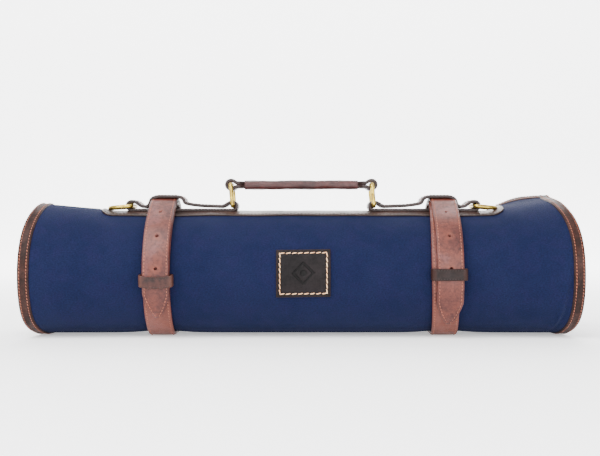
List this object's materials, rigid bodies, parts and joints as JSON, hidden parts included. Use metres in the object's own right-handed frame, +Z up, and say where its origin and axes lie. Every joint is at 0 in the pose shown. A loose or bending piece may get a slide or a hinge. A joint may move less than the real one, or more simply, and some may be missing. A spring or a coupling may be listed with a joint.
{
  "type": "brush roll case",
  "caption": "Rolled canvas brush case bound in leather, closed by buckled straps, with a carry handle on wire rings and dees for a shoulder strap.",
  "frame": {"origin": "on the ground below the middle of the case's bounding box", "axes": "+X along the roll, -Y the front with the patch and the straps' points, +Z up"},
  "size_m": [0.51, 0.1324, 0.1504],
  "materials": {
    "navy_canvas": "matte mottled canvas weave",
    "grey_felt": "matte felt",
    "navy_lining": "matte cotton twill",
    "brown_leather": "satin, waxed, with stitched edges",
    "dark_leather": "satin, dark waxed",
    "band_leather": "satin",
    "antique_brass": "aged, burnished on the edges"
  },
  "bodies": {
    "case": {"outer_canvas": "navy_canvas", "padding_felt": "grey_felt", "cotton_lining": "navy_lining", "brush_pockets": "navy_lining", "brush_flap": "navy_lining", "end_binding_left": "brown_leather", "end_binding_right": "brown_leather", "edge_binding_outer": "brown_leather", "edge_binding_inner": "brown_leather", "top_band": "band_leather", "maker_patch": "dark_leather", "strap_left": "brown_leather", "buckle_frame_left": "antique_brass", "anchor_tab_left": "dark_leather", "strap_right": "brown_leather", "buckle_frame_right": "antique_brass", "anchor_tab_right": "dark_leather"},
    "handle_ring_left": {"handle_ring_left": "antique_brass"},
    "handle_ring_right": {"handle_ring_right": "antique_brass"},
    "handle": {"handle_core": "dark_leather", "handle_grip": "brown_leather"},
    "dee_ring_left": {"dee_ring_left": "antique_brass"},
    "dee_ring_right": {"dee_ring_right": "antique_brass"},
    "keeper_left": {"keeper_left": "dark_leather"},
    "keeper_right": {"keeper_right": "dark_leather"},
    "buckle_prong_left": {"buckle_prong_left": "antique_brass"},
    "buckle_prong_right": {"buckle_prong_right": "antique_brass"}
  },
  "joints": [
    {"name": "ring_left_lean", "type": "hinge", "parent": "case", "child": "handle_ring_left", "pos_m": [-0.06605, 0.0026, 0.1237], "axis": [0, 1, 0], "range_deg": [-55, 65]},
    {"name": "ring_right_lean", "type": "hinge", "parent": "case", "child": "handle_ring_right", "pos_m": [0.07045, 0.0026, 0.1237], "axis": [0, 1, 0], "range_deg": [-55, 65]},
    {"name": "handle_level", "type": "hinge", "parent": "handle_ring_left", "child": "handle", "pos_m": [-0.06788, 0.0026, 0.14462], "axis": [0, 1, 0], "range_deg": [-65, 55]},
    {"name": "dee_left_lift", "type": "hinge", "parent": "case", "child": "dee_ring_left", "pos_m": [-0.1641, 0.0026, 0.1237], "axis": [0, 1, 0], "range_deg": [0, 105]},
    {"name": "dee_right_lift", "type": "hinge", "parent": "case", "child": "dee_ring_right", "pos_m": [0.1685, 0.0026, 0.1237], "axis": [0, -1, 0], "range_deg": [0, 105]},
    {"name": "keeper_left_slide", "type": "hinge", "parent": "case", "child": "keeper_left", "pos_m": [-0.1328, 0.0026, 0.0593], "axis": [1, 0, 0], "range_deg": [-50, 28]},
    {"name": "keeper_right_slide", "type": "hinge", "parent": "case", "child": "keeper_right", "pos_m": [0.1372, 0.0026, 0.0593], "axis": [1, 0, 0], "range_deg": [-45, 33]},
    {"name": "prong_left_lift", "type": "hinge", "parent": "case", "child": "buckle_prong_left", "pos_m": [-0.1328, 0.04136, 0.10891], "axis": [1, 0, 0], "range_deg": [0, 8]},
    {"name": "prong_right_lift", "type": "hinge", "parent": "case", "child": "buckle_prong_right", "pos_m": [0.1372, 0.04136, 0.10891], "axis": [1, 0, 0], "range_deg": [0, 8]}
  ],
  "couplings": [
    {"joint": "ring_right_lean", "follows": "ring_left_lean", "ratio": 1},
    {"joint": "handle_level", "follows": "ring_left_lean", "ratio": -1}
  ]
}
